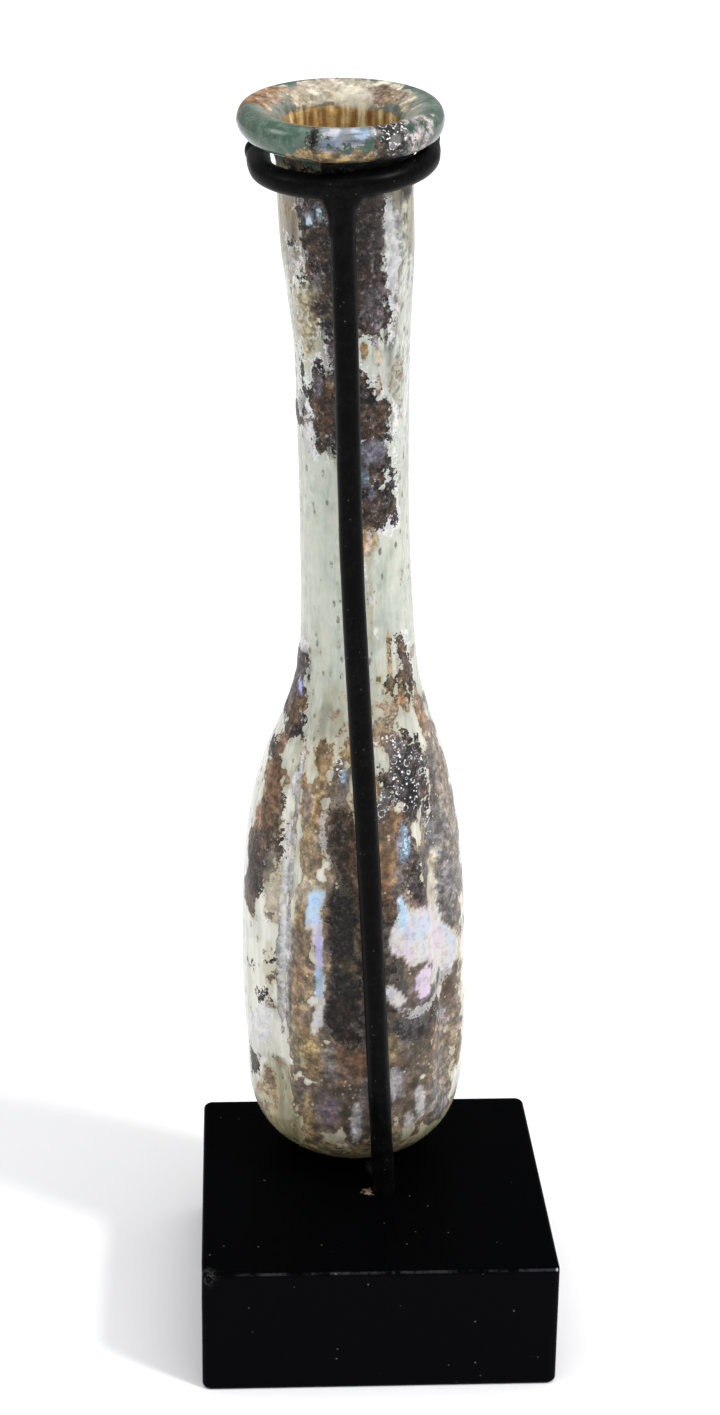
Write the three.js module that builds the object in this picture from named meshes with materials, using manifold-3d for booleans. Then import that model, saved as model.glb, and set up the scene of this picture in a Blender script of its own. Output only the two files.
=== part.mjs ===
// Roman glass unguentarium held on a metal mount over a square block base.
// Units are millimetres and +Z is up. The front is -Y and +X is on the viewer's right.
// The origin is the centre of the block's underside.
import * as THREE from 'three';
import { mergeVertices } from 'three/addons/utils/BufferGeometryUtils.js';
import Module from 'manifold-3d';

const wasm = await Module();
wasm.setup();

const DEGREE = Math.PI / 180;

// Clear space between neighbouring pieces
const FIT_GAP = 0.3;

// Block base
const BLOCK_SIDE = 50.8;
const BLOCK_HEIGHT = 19.05;
const BLOCK_EDGE = 0.7;
const BLOCK_CORNER_STEPS = 2;
const HOLE_SIDES = 20;

// Metal mount: rod
const ROD_RADIUS = 1.65;
const ROD_SIDES = 14;
const ROD_STEPS = 30;
const ROD_FOOT_X = 1.6;
const ROD_FOOT_Y = -2.96;
const ROD_SEAT_DEPTH = 12;

// Bottle: how its axis leans towards the front and how far its round foot tucks in over the rod's foot
const BOTTLE_LEAN = 4.2 * DEGREE;
const BOTTLE_SIDES = 52;
const FOOT_TUCK = 0.57;
const FOOT_LIFT = 0.1;

// Bottle: outer radius of body, shoulder and neck at heights above the foot
const FOOT_DEPTH = 14.6;
const FOOT_RADIUS = 16.3;
const FOOT_FULLNESS = 2.62;
const OUTER_STATIONS = [
  { height: FOOT_DEPTH, radius: FOOT_RADIUS },
  { height: 26, radius: 16.75 },
  { height: 38, radius: 16.6 },
  { height: 48, radius: 16.0 },
  { height: 57, radius: 14.9 },
  { height: 65, radius: 12.95 },
  { height: 72, radius: 10.4 },
  { height: 79, radius: 8.55 },
  { height: 90, radius: 7.85 },
  { height: 106, radius: 7.63 },
  { height: 124, radius: 7.85 },
  { height: 143, radius: 9.05 },
  { height: 151, radius: 9.05 },
];
const BOTTLE_FOOT = new THREE.Vector3(
  0,
  ROD_FOOT_Y + ROD_RADIUS + FOOT_RADIUS - FOOT_TUCK,
  BLOCK_HEIGHT + FIT_GAP + FOOT_LIFT,
);

// Bottle: the centre line wanders sideways as a free-blown vessel's does
const CENTRE_STATIONS = [
  { height: 0, offset: -2.1 },
  { height: 14, offset: -2.05 },
  { height: 34, offset: -2.6 },
  { height: 58, offset: -3.0 },
  { height: 76, offset: -2.65 },
  { height: 104, offset: -3.55 },
  { height: 124, offset: -4.1 },
  { height: 144, offset: -5.2 },
  { height: 151, offset: -5.55 },
  { height: 156, offset: -6.05 },
];

// Bottle: wall thickness
const BODY_WALL = 1.6;
const NECK_WALL = 1.5;
const FLOOR_THICKNESS = 2.3;

// Bottle: heights of the rows of facets, up the outside and down the inside
const OUTSIDE_ROWS = [
  FOOT_DEPTH, 20, 26, 32, 38, 44, 50, 55, 60, 64, 68, 72, 76, 80, 86, 94, 106, 118, 131, 143, 151,
];
const INSIDE_ROWS = [146, 136, 122, 106, 92, 84, 78, 73, 68, 63, 57, 50, 42, 33, 24, FOOT_DEPTH];

// Bottle: section of the rolled rim. Reach runs from the bore (0) to the rim's outer edge (1),
// and rise is measured from the rim's middle plane in half thicknesses
const RIM_HEIGHT = 156.1;
const RIM_RADIUS = 13.6;
const RIM_HALF_THICKNESS = 2.1;
const RIM_SECTION = [
  { reach: 0.39, rise: -1.38 },
  { reach: 0.64, rise: -1.19 },
  { reach: 0.87, rise: -0.81 },
  { reach: 0.98, rise: -0.29 },
  { reach: 1, rise: 0.19 },
  { reach: 0.93, rise: 0.71 },
  { reach: 0.8, rise: 1 },
  { reach: 0.64, rise: 0.97 },
  { reach: 0.36, rise: 0.67 },
  { reach: 0.14, rise: 0.29 },
  { reach: 0.03, rise: -0.29 },
  { reach: 0, rise: -1.14 },
];
const RIM_TILT_BACK = 4.4 * DEGREE;
const RIM_TILT_SIDE = 1.0 * DEGREE;
const RIM_TILT_RUN = 9;

// Bottle: four shallow upright creases pressed into the body, by angle from the front
const CREASES = [
  { low: -51, high: -38 },
  { low: 58, high: 48 },
  { low: 134, high: 128 },
  { low: -136, high: -130 },
];
const CREASE_DEPTH = 1.3;
const CREASE_HALF_WIDTH = 8.5;
const CREASE_FOOT = 7;
const CREASE_TOP = 70;
const FRONT_FLATTENING = 0.9;

// Metal mount: the rod's bends, by height on the bottle, distance across from its centre line and
// clear space in front of its glass
const ROD_BENDS = [
  { height: 9.7, across: 3.1, clear: 0.45 },
  { height: 28.6, across: 2.4, clear: 0.5 },
  { height: 57.2, across: 1.3, clear: 1.3 },
  { height: 78.3, across: -0.47, clear: 5.2 },
  { height: 100.8, across: -1.05, clear: 4.8 },
  { height: 126.9, across: -1.2, clear: 2.7 },
  { height: 141, across: -0.95, clear: 0.85 },
];

// Metal mount: the fork round the neck, the brazing fillet below it and the prong at the foot
const FORK_HEIGHT = 151;
const FORK_WIRE_RADIUS = 1.65;
const FORK_CLEARANCE = 0.45;
const FORK_ARM_REACH = 5.6;
const FORK_ARM_SPLAY = 0.2;
const FORK_STEPS = 28;
const FORK_TILT_BACK = 10.5 * DEGREE;
const FORK_TILT_SIDE = 4.3 * DEGREE;
const ROD_TOP_ACROSS = -0.6;
const FILLET_ACROSS = -0.8;
const FILLET_HEIGHT = 6.4;
const FILLET_REACH = 2.9;
const FILLET_FLATNESS = 0.4;
const PRONG_RADIUS = 1.2;
const PRONG_SIDES = 10;
const PRONG_STEPS = 4;
const PRONG_TIP_HEIGHT = 3.9;
const PRONG_TIP_ACROSS = 2.1;
const PRONG_CLEARANCE = 0.42;

// A smooth curve through the stations that never swings past them: between two stations it is a cubic
// whose end slopes are the weighted harmonic means of the neighbouring slopes
function throughStations(stations, key) {
  const x = stations.map((station) => station.height);
  const y = stations.map((station) => station[key]);
  const last = x.length - 1;
  const step = x.slice(1).map((value, i) => value - x[i]);
  const slope = step.map((width, i) => (y[i + 1] - y[i]) / width);
  const tangent = x.map((value, i) => {
    if (i === 0 || i === last) {
      return slope[i === 0 ? 0 : last - 1];
    }
    if (slope[i - 1] * slope[i] <= 0) {
      return 0;
    }
    const before = 2 * step[i] + step[i - 1];
    const after = step[i] + 2 * step[i - 1];
    return (before + after) / (before / slope[i - 1] + after / slope[i]);
  });
  return (height) => {
    const h = THREE.MathUtils.clamp(height, x[0], x[last]);
    let i = 0;
    while (i < last - 1 && h > x[i + 1]) {
      i += 1;
    }
    const t = (h - x[i]) / step[i];
    const start = (1 + 2 * t) * (1 - t) ** 2 * y[i] + t * (1 - t) ** 2 * step[i] * tangent[i];
    const end = t * t * (3 - 2 * t) * y[i + 1] + t * t * (t - 1) * step[i] * tangent[i + 1];
    return start + end;
  };
}

const outerRadius = throughStations(OUTER_STATIONS, 'radius');
const centreOffset = throughStations(CENTRE_STATIONS, 'offset');
const FORK_RADIUS = outerRadius(FORK_HEIGHT) + FORK_CLEARANCE + FORK_WIRE_RADIUS;

function wallAt(height) {
  return THREE.MathUtils.lerp(BODY_WALL, NECK_WALL, THREE.MathUtils.smoothstep(height, 60, 80));
}

// Rounded bottom: radius of a superellipse quarter at a height above its pole
function footRadius(height, depth, radius) {
  const share = 1 - height / depth;
  return radius * (1 - share ** FOOT_FULLNESS) ** (1 / FOOT_FULLNESS);
}

function footCurve(depth, radius, rows) {
  const points = [];
  for (let i = 0; i < rows; i += 1) {
    const height = depth * (1 - Math.cos((i / rows) * Math.PI / 2));
    points.push([footRadius(height, depth, radius), height]);
  }
  return points;
}

// Closed profile of the bottle: up the outside, over the rim and down the inside
function bottleProfile() {
  const points = footCurve(FOOT_DEPTH, FOOT_RADIUS, 7);
  OUTSIDE_ROWS.forEach((height) => points.push([outerRadius(height), height]));
  const bore = outerRadius(RIM_HEIGHT) - NECK_WALL;
  RIM_SECTION.forEach(({ reach, rise }) => {
    points.push([THREE.MathUtils.lerp(bore, RIM_RADIUS, reach), RIM_HEIGHT + rise * RIM_HALF_THICKNESS]);
  });
  INSIDE_ROWS.forEach((height) => points.push([outerRadius(height) - wallAt(height), height]));
  const floor = footCurve(FOOT_DEPTH - FLOOR_THICKNESS, FOOT_RADIUS - BODY_WALL, 6).reverse();
  floor.forEach(([radius, height]) => points.push([radius, FLOOR_THICKNESS + height]));
  return points.map(([radius, height]) => new THREE.Vector2(Math.max(radius, 0), height));
}

// How far the body's wall is pressed in at an angle from the front and a height
function pressedIn(angle, height) {
  const rise = THREE.MathUtils.smoothstep(height, CREASE_FOOT, CREASE_FOOT + 10);
  const fall = 1 - THREE.MathUtils.smoothstep(height, CREASE_TOP - 14, CREASE_TOP);
  const fade = rise * fall;
  const share = THREE.MathUtils.clamp((height - CREASE_FOOT) / (CREASE_TOP - CREASE_FOOT), 0, 1);
  let depth = FRONT_FLATTENING * Math.max(Math.cos(angle), 0) ** 2;
  CREASES.forEach(({ low, high }) => {
    const centre = THREE.MathUtils.lerp(low, high, share) * DEGREE;
    const away = Math.atan2(Math.sin(angle - centre), Math.cos(angle - centre));
    depth += CREASE_DEPTH * Math.exp(-((away / (CREASE_HALF_WIDTH * DEGREE)) ** 2));
  });
  return depth * fade;
}

// A place in the leaning bottle's own frame: across and back from the centre line, and height on it
function besideCentreLine(across, back, height) {
  return new THREE.Vector3(
    BOTTLE_FOOT.x + centreOffset(height) + across,
    BOTTLE_FOOT.y - height * Math.sin(BOTTLE_LEAN) + back * Math.cos(BOTTLE_LEAN),
    BOTTLE_FOOT.z + height * Math.cos(BOTTLE_LEAN) + back * Math.sin(BOTTLE_LEAN),
  );
}

// Moves a point of the upright turned bottle to its place in the leaning, free-blown one
function placeOnBottle(point) {
  const angle = Math.atan2(point.x, -point.y);
  const turned = Math.hypot(point.x, point.y);
  const radius = Math.max(turned - pressedIn(angle, point.z) * Math.min(turned / 8, 1), 0);
  const x = radius * Math.sin(angle);
  const y = -radius * Math.cos(angle);
  const oblique = THREE.MathUtils.smoothstep(
    point.z, RIM_HEIGHT - RIM_TILT_RUN, RIM_HEIGHT - RIM_HALF_THICKNESS);
  const raise = oblique * (y * Math.tan(RIM_TILT_BACK) + x * Math.tan(RIM_TILT_SIDE));
  return besideCentreLine(x, y, point.z).add(new THREE.Vector3(
    0, -raise * Math.sin(BOTTLE_LEAN), raise * Math.cos(BOTTLE_LEAN)));
}

// Turns a closed geometry into a solid
function toSolid(geometry) {
  const bare = geometry.clone();
  bare.deleteAttribute('normal');
  bare.deleteAttribute('uv');
  const merged = mergeVertices(bare, 1e-4);
  return new wasm.Manifold(new wasm.Mesh({
    numProp: 3,
    vertProperties: new Float32Array(merged.attributes.position.array),
    triVerts: new Uint32Array(merged.index.array),
  }));
}

// Turns a solid back into a geometry
function toGeometry(solid) {
  const mesh = solid.getMesh();
  const geometry = new THREE.BufferGeometry();
  geometry.setAttribute('position', new THREE.BufferAttribute(mesh.vertProperties, 3));
  geometry.setIndex(new THREE.BufferAttribute(mesh.triVerts, 1));
  geometry.computeVertexNormals();
  return geometry;
}

// A round wire along a smooth curve, with flat ends
function wireAlong(points, radius, sides, steps) {
  const section = new THREE.Shape();
  section.absarc(0, 0, radius, 0, 2 * Math.PI, false);
  const path = new THREE.CatmullRomCurve3(points, false, 'centripetal');
  return new THREE.ExtrudeGeometry(section, {
    extrudePath: path,
    steps,
    curveSegments: sides / 2,
  });
}

function ballAt(centre, radius) {
  return new THREE.SphereGeometry(radius, ROD_SIDES, 8).translate(centre.x, centre.y, centre.z);
}

// The bottle: a turned profile, then pressed, bent and leant into place
function buildBottle() {
  const geometry = new THREE.LatheGeometry(bottleProfile(), BOTTLE_SIDES).rotateX(Math.PI / 2);
  const position = geometry.attributes.position;
  for (let i = 0; i < position.count; i += 1) {
    const placed = placeOnBottle(new THREE.Vector3().fromBufferAttribute(position, i));
    position.setXYZ(i, placed.x, placed.y, placed.z);
  }
  return toGeometry(toSolid(geometry));
}

// A point of the fork's own tilted plane: across to the right, and back away from the front
function forkPoint(across, back) {
  const right = new THREE.Vector3(Math.cos(FORK_TILT_SIDE), 0, Math.sin(FORK_TILT_SIDE));
  const rear = new THREE.Vector3(0, Math.cos(FORK_TILT_BACK), Math.sin(FORK_TILT_BACK));
  const centre = besideCentreLine(0, 0, FORK_HEIGHT);
  return centre.addScaledVector(right, across).addScaledVector(rear, back);
}

// Centre line of the fork: left arm, half circle round the front, right arm
function forkLine() {
  const bends = 10;
  const points = [
    forkPoint(-FORK_RADIUS - FORK_ARM_SPLAY, FORK_ARM_REACH),
    forkPoint(-FORK_RADIUS - FORK_ARM_SPLAY / 2, FORK_ARM_REACH / 2),
  ];
  for (let i = 0; i <= bends; i += 1) {
    const angle = Math.PI * (i / bends);
    points.push(forkPoint(-FORK_RADIUS * Math.cos(angle), -FORK_RADIUS * Math.sin(angle)));
  }
  points.push(forkPoint(FORK_RADIUS + FORK_ARM_SPLAY / 2, FORK_ARM_REACH / 2));
  points.push(forkPoint(FORK_RADIUS + FORK_ARM_SPLAY, FORK_ARM_REACH));
  return points;
}

// Brazing fillet where the rod's top spreads into the fork: a hollow-sided cone, wider than it is deep
function buildFillet() {
  const rows = 5;
  const top = forkPoint(FILLET_ACROSS, -FORK_RADIUS);
  const profile = [new THREE.Vector2(0, 0)];
  for (let i = 0; i <= rows; i += 1) {
    const share = i / rows;
    const spread = ROD_RADIUS * 0.98 + FILLET_REACH * share ** 3;
    profile.push(new THREE.Vector2(spread, FILLET_HEIGHT * share));
  }
  profile.push(new THREE.Vector2(0, FILLET_HEIGHT));
  return new THREE.LatheGeometry(profile, ROD_SIDES)
    .rotateX(Math.PI / 2)
    .scale(1, FILLET_FLATNESS, 1)
    .translate(top.x, top.y, top.z - FILLET_HEIGHT);
}

// Centre line of the rod: straight in the block, bent along the bottle's front, up into the fork
function rodLine() {
  const foot = new THREE.Vector3(ROD_FOOT_X, ROD_FOOT_Y, BLOCK_HEIGHT);
  const points = [1, 0.4, 0].map((share) => foot.clone().setZ(BLOCK_HEIGHT - share * ROD_SEAT_DEPTH));
  ROD_BENDS.forEach(({ height, across, clear }) => {
    const glass = height < FOOT_DEPTH ? footRadius(height, FOOT_DEPTH, FOOT_RADIUS) : outerRadius(height);
    const back = pressedIn(0, height) - glass - clear - ROD_RADIUS;
    points.push(besideCentreLine(across, back, height));
  });
  points.push(forkPoint(ROD_TOP_ACROSS, -FORK_RADIUS));
  return points;
}

// Centre line of the prong: from the rod's foot back to just under the rounded bottom
function prongLine() {
  const nudge = 0.05;
  const radius = footRadius(PRONG_TIP_HEIGHT, FOOT_DEPTH, FOOT_RADIUS);
  const above = footRadius(PRONG_TIP_HEIGHT + nudge, FOOT_DEPTH, FOOT_RADIUS);
  const outward = new THREE.Vector2(nudge, radius - above).normalize();
  const reach = PRONG_RADIUS + PRONG_CLEARANCE;
  const tip = besideCentreLine(
    PRONG_TIP_ACROSS, -(radius + outward.x * reach), PRONG_TIP_HEIGHT + outward.y * reach);
  const root = new THREE.Vector3(ROD_FOOT_X, ROD_FOOT_Y, BLOCK_HEIGHT + PRONG_RADIUS);
  return [root, root.clone().lerp(tip, 0.5), tip];
}

// The mount: rod, fork, fillet and prong joined as one brazed piece
function buildMount() {
  const fork = forkLine();
  const prong = prongLine();
  const parts = [
    wireAlong(rodLine(), ROD_RADIUS, ROD_SIDES, ROD_STEPS),
    wireAlong(fork, FORK_WIRE_RADIUS, ROD_SIDES, FORK_STEPS),
    ballAt(fork[0], FORK_WIRE_RADIUS),
    ballAt(fork[fork.length - 1], FORK_WIRE_RADIUS),
    buildFillet(),
    wireAlong(prong, PRONG_RADIUS, PRONG_SIDES, PRONG_STEPS),
    ballAt(prong[prong.length - 1], PRONG_RADIUS),
  ];
  const joined = parts.map(toSolid).reduce((whole, part) => whole.add(part));
  return toGeometry(joined);
}

// The block: a square plate with rounded corners and eased edges, drilled for the rod's foot
function buildBlock() {
  const half = BLOCK_SIDE / 2 - BLOCK_EDGE;
  const outline = new THREE.Shape();
  for (let corner = 0; corner < 4; corner += 1) {
    const angle = corner * Math.PI / 2;
    const x = (half - BLOCK_EDGE) * Math.SQRT2 * Math.cos(angle + Math.PI / 4);
    const y = (half - BLOCK_EDGE) * Math.SQRT2 * Math.sin(angle + Math.PI / 4);
    outline.absarc(x, y, BLOCK_EDGE, angle, angle + Math.PI / 2, false);
  }
  outline.closePath();
  const slab = new THREE.ExtrudeGeometry(outline, {
    depth: BLOCK_HEIGHT - 2 * BLOCK_EDGE,
    bevelThickness: BLOCK_EDGE,
    bevelSize: BLOCK_EDGE,
    bevelSegments: 2,
    curveSegments: BLOCK_CORNER_STEPS,
  }).translate(0, 0, BLOCK_EDGE);
  const holeDepth = ROD_SEAT_DEPTH + FIT_GAP;
  const overshoot = 1;
  const drill = new THREE.CylinderGeometry(
    ROD_RADIUS + FIT_GAP, ROD_RADIUS + FIT_GAP, holeDepth + overshoot, HOLE_SIDES)
    .rotateX(Math.PI / 2)
    .translate(ROD_FOOT_X, ROD_FOOT_Y, BLOCK_HEIGHT + (overshoot - holeDepth) / 2);
  return toGeometry(toSolid(slab).subtract(toSolid(drill)));
}

function addPiece(group, name, geometry, look) {
  const mesh = new THREE.Mesh(geometry, new THREE.MeshStandardMaterial(look));
  mesh.name = name;
  group.add(mesh);
}

const unguentarium = new THREE.Group();
addPiece(unguentarium, 'glass_bottle', buildBottle(), {
  color: 0xb9c7b4,
  roughness: 0.25,
  metalness: 0,
});
addPiece(unguentarium, 'metal_mount', buildMount(), {
  color: 0x17171a,
  roughness: 0.45,
  metalness: 0.3,
});
addPiece(unguentarium, 'block_base', buildBlock(), {
  color: 0x0b0b0d,
  roughness: 0.3,
  metalness: 0,
});

export default unguentarium;
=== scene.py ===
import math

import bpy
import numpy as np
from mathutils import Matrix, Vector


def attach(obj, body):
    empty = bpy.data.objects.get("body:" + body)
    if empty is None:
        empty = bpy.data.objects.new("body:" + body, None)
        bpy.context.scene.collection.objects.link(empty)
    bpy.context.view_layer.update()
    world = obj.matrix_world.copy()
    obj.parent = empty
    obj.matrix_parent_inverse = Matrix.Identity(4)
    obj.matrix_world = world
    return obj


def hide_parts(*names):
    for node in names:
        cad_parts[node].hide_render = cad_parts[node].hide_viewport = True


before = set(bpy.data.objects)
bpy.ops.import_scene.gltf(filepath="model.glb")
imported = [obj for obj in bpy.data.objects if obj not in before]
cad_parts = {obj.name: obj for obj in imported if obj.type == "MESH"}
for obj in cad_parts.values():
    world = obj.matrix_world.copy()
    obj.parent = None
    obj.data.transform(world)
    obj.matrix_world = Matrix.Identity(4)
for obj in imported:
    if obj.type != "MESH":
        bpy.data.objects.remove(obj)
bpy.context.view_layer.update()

# %% [markdown]
# # A Roman glass unguentarium on its mount
#
# The object is a slender flask of pale blue-green glass, blown without a mould about two thousand years
# ago to hold scented oil. A bent metal rod with an open fork holds it up over a black block. The lesson
# makes the three pieces as fine meshes in the solid model's frame, paints them and lights them. Lengths
# are in millimetres, and turned into metres at the end.

MM = 0.001
DEGREE = math.pi / 180

# %% [markdown]
# ## Curves through stations
#
# A glassblower's profile has no straight lines and no ripples. The wall's radius and the wandering of
# the centre line are therefore smooth curves through a few stations, and never swing past them.

# %% Curves through stations


def through(stations):
    """A function of height: cubic pieces whose end slopes are the weighted harmonic means of the
    neighbouring slopes, and zero where the stations turn back."""
    x, y = np.array(stations, float).T
    step = np.diff(x)
    slope = np.diff(y) / step
    tangent = np.concatenate([slope[:1], np.zeros(len(x) - 2), slope[-1:]])
    before = 2 * step[1:] + step[:-1]
    after = step[1:] + 2 * step[:-1]
    same = slope[:-1] * slope[1:] > 0
    safe = np.where(same, slope[:-1], 1), np.where(same, slope[1:], 1)
    tangent[1:-1] = np.where(same, (before + after) / (before / safe[0] + after / safe[1]), 0)

    def curve(height):
        h = np.clip(height, x[0], x[-1])
        i = np.clip(np.searchsorted(x, h) - 1, 0, len(x) - 2)
        t = (h - x[i]) / step[i]
        start = (1 + 2 * t) * (1 - t) ** 2 * y[i] + t * (1 - t) ** 2 * step[i] * tangent[i]
        end = t * t * (3 - 2 * t) * y[i + 1] + t * t * (t - 1) * step[i] * tangent[i + 1]
        return start + end

    return curve


def smoothstep(value, low, high):
    """0 below low, 1 above high, and the cubic 3t^2 - 2t^3 between them."""
    t = np.clip((value - low) / (high - low), 0, 1)
    return t * t * (3 - 2 * t)


BLOCK_SIDE = 50.8
BLOCK_HEIGHT = 19.05
FIT_GAP = 0.3
HOLE_PLAY = 0.1
ROD_RADIUS = 1.65
ROD_FOOT = (1.6, -2.96)
FOOT_DEPTH = 14.6
FOOT_RADIUS = 16.3
FOOT_FULLNESS = 2.62
LEAN = 4.2 * DEGREE
FOOT_TUCK = 0.57
FOOT_LIFT = 0.1
BOTTLE_FOOT = (0, ROD_FOOT[1] + ROD_RADIUS + FOOT_RADIUS - FOOT_TUCK, BLOCK_HEIGHT + FIT_GAP + FOOT_LIFT)

outer_radius = through([
    (FOOT_DEPTH, FOOT_RADIUS), (26, 16.75), (38, 16.6), (48, 16.0), (57, 14.9), (65, 12.95), (72, 10.4),
    (79, 8.55), (90, 7.85), (106, 7.63), (124, 7.85), (143, 9.05), (151, 9.05),
])
centre_offset = through([
    (0, -2.1), (14, -2.05), (34, -2.6), (58, -3.0), (76, -2.65), (104, -3.55), (124, -4.1), (144, -5.2),
    (151, -5.55), (156, -6.05),
])
print("neck radius at 106 mm:", round(float(outer_radius(106)), 2))

# %% [markdown]
# ## Grids and lumps
#
# Every turned or drawn piece is a grid of rows and columns. Its last column joins its first, and its end
# rows shrink to a point each, so the skin is closed. Lumps are a smooth random field with a fixed seed,
# for what a tool or the soil has roughened.

# %% Grids and lumps


def lumps(points, size, seed):
    """Random values from -1 to 1 on a cubic lattice of that size in mm, blended by a smoothstep."""
    side = 24
    table = np.random.default_rng(seed).uniform(-1, 1, (side, side, side))
    q = points / size
    cell = np.floor(q).astype(int)
    part = q - cell
    part = part * part * (3 - 2 * part)
    total = np.zeros(points.shape[:-1])
    for corner in np.ndindex(2, 2, 2):
        near = np.where(np.array(corner) == 1, part, 1 - part).prod(axis=-1)
        index = (cell + corner) % side
        total += near * table[index[..., 0], index[..., 1], index[..., 2]]
    return total


def on_vertices(grid):
    """The grid's values for each vertex of its closed skin: first pole, rows between, last pole."""
    between = grid[1:-1].reshape(-1, *grid.shape[2:])
    return np.concatenate([grid[:1].mean(axis=1), between, grid[-1:].mean(axis=1)])


def closed_grid(points):
    """Vertices, quads and triangles of a closed skin. The columns go round, and the first and last rows
    become a pole each, at the mean of their points."""
    rows, columns = points.shape[:2]
    vertices = on_vertices(points)
    here = np.arange(columns)
    beside = (here + 1) % columns
    row = 1 + columns * np.arange(rows - 3)[:, None]
    quads = np.stack([row + here, row + beside, row + columns + beside, row + columns + here], axis=-1)
    pole = np.zeros(columns, int)
    top = 1 + columns * (rows - 3)
    caps = np.concatenate([
        np.stack([pole, 1 + beside, 1 + here], axis=-1),
        np.stack([pole + len(vertices) - 1, top + here, top + beside], axis=-1),
    ])
    return vertices, quads.reshape(-1, 4), caps


def add_object(name, data):
    """A new object in the scene."""
    made = bpy.data.objects.new(name, data)
    bpy.context.collection.objects.link(made)
    return made


def make_mesh(name, skins, fields=None):
    """One smooth mesh object from a list of closed skins in mm, with float fields on its vertices."""
    places, faces, start = [], [], 0
    for vertices, quads, caps in skins:
        places.append(vertices * MM)
        faces += (quads + start).tolist() + (caps + start).tolist()
        start += len(vertices)
    mesh = bpy.data.meshes.new(name)
    mesh.from_pydata(np.concatenate(places), [], faces, shade_flat=False)
    for label, values in (fields or {}).items():
        mesh.attributes.new(label, "FLOAT", "POINT").data.foreach_set("value", values.astype(np.float32))
    mesh.validate()
    print(f"{name}: {start} vertices, {len(faces)} faces")
    return add_object(name, mesh)


# %% [markdown]
# ## The flask's form
#
# The real flask was one gather of glass: blown to a long bubble, drawn out at the neck, cracked off the
# pipe, folded at the lip into a rolled rim, and pressed in along four upright creases. Here one closed
# profile runs up the outside, over the rim and down the inside, and is turned, pressed, bent and leant,
# so the wall has its true thickness everywhere.

# %% The flask's form
BODY_WALL = 1.6
NECK_WALL = 1.5
SHOULDER_SPAN = (60, 80)
FLOOR_THICKNESS = 2.3
NECK_TOP = 151
BORE_START = 148
RIM_HEIGHT = 156.1
RIM_RADIUS = 13.6
RIM_HALF_THICKNESS = 2.1
RIM_SECTION = [
    (0.39, -1.38), (0.64, -1.19), (0.87, -0.81), (0.98, -0.29), (1, 0.19), (0.93, 0.71), (0.8, 1),
    (0.64, 0.97), (0.36, 0.67), (0.14, 0.29), (0.03, -0.29), (0, -1.14),
]
RIM_TILT_BACK = 4.4 * DEGREE
RIM_TILT_SIDE = 1.0 * DEGREE
RIM_TILT_RUN = 9
CREASES = [(-51, -38), (58, 48), (134, 128), (-136, -130)]
CREASE_DEPTH = 1.3
CREASE_HALF_WIDTH = 8.5
CREASE_FOOT = 7
CREASE_TOP = 70
FRONT_FLATTENING = 0.9
GRID_COLUMNS = 256


def wall_at(height):
    """The wall thins from body to neck by a smoothstep over the shoulder."""
    return BODY_WALL + (NECK_WALL - BODY_WALL) * smoothstep(height, *SHOULDER_SPAN)


def superellipse(height, depth, radius):
    """Radius of a rounded bottom: the quarter of a curve between circle and square, on end."""
    share = np.clip(1 - height / depth, 0, 1)
    return radius * (1 - share ** FOOT_FULLNESS) ** (1 / FOOT_FULLNESS)


def rounded_bottom(depth, radius, rows):
    """Radius and height of the bottom's rows, which lie closer together at the pole."""
    height = depth * (1 - np.cos(np.linspace(0, math.pi / 2, rows)))
    return superellipse(height, depth, radius), height


def spline(points, steps):
    """A centripetal curve through the points, with that many steps between two. Three lines through
    neighbours are blended by their knots into two, and those into one cubic."""
    p = np.array(points, float)
    p = np.concatenate([2 * p[:1] - p[1:2], p, 2 * p[-1:] - p[-2:-1]])
    knot = np.concatenate([[0], np.cumsum(np.sqrt(np.linalg.norm(np.diff(p, axis=0), axis=1)))])
    pieces = []
    for i in range(1, len(p) - 2):
        k = knot[i - 1:i + 3]
        t = np.linspace(k[1], k[2], steps, endpoint=False)[:, None]
        a = [((k[j + 1] - t) * p[i - 1 + j] + (t - k[j]) * p[i + j]) / (k[j + 1] - k[j]) for j in range(3)]
        b = [((k[j + 2] - t) * a[j] + (t - k[j]) * a[j + 1]) / (k[j + 2] - k[j]) for j in range(2)]
        pieces.append(((k[2] - t) * b[0] + (t - k[1]) * b[1]) / (k[2] - k[1]))
    return np.concatenate(pieces + [p[-2:-1]])


def flask_profile():
    """Radius, height and way of each row. The way is the height up to the neck's top, and from there on
    the length of the path over the rim and down the inside."""
    foot_r, foot_h = rounded_bottom(FOOT_DEPTH, FOOT_RADIUS, 26)
    wall_h = np.linspace(FOOT_DEPTH, NECK_TOP, 216)[1:-1]
    bore = float(outer_radius(RIM_HEIGHT)) - NECK_WALL
    rim = [(float(outer_radius(h)), h) for h in (NECK_TOP - 4, NECK_TOP)]
    rim += [(bore + (RIM_RADIUS - bore) * reach, RIM_HEIGHT + rise * RIM_HALF_THICKNESS)
            for reach, rise in RIM_SECTION]
    rim += [(bore, NECK_TOP), (bore, BORE_START)]
    lip = spline(rim, 5)[5:]
    inside_h = np.linspace(BORE_START, FOOT_DEPTH, 76)[1:]
    floor_r, floor_h = rounded_bottom(FOOT_DEPTH - FLOOR_THICKNESS, FOOT_RADIUS - BODY_WALL, 16)
    radius = np.concatenate([
        foot_r, outer_radius(wall_h), lip[:, 0], outer_radius(inside_h) - wall_at(inside_h),
        floor_r[::-1][1:]])
    height = np.concatenate([foot_h, wall_h, lip[:, 1], inside_h, FLOOR_THICKNESS + floor_h[::-1][1:]])
    travelled = np.concatenate([[0], np.cumsum(np.hypot(np.diff(radius), np.diff(height)))])
    top = len(foot_h) + len(wall_h)
    way = np.where(np.arange(len(height)) < top, height, NECK_TOP + travelled - travelled[top])
    return radius, height, way


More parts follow.
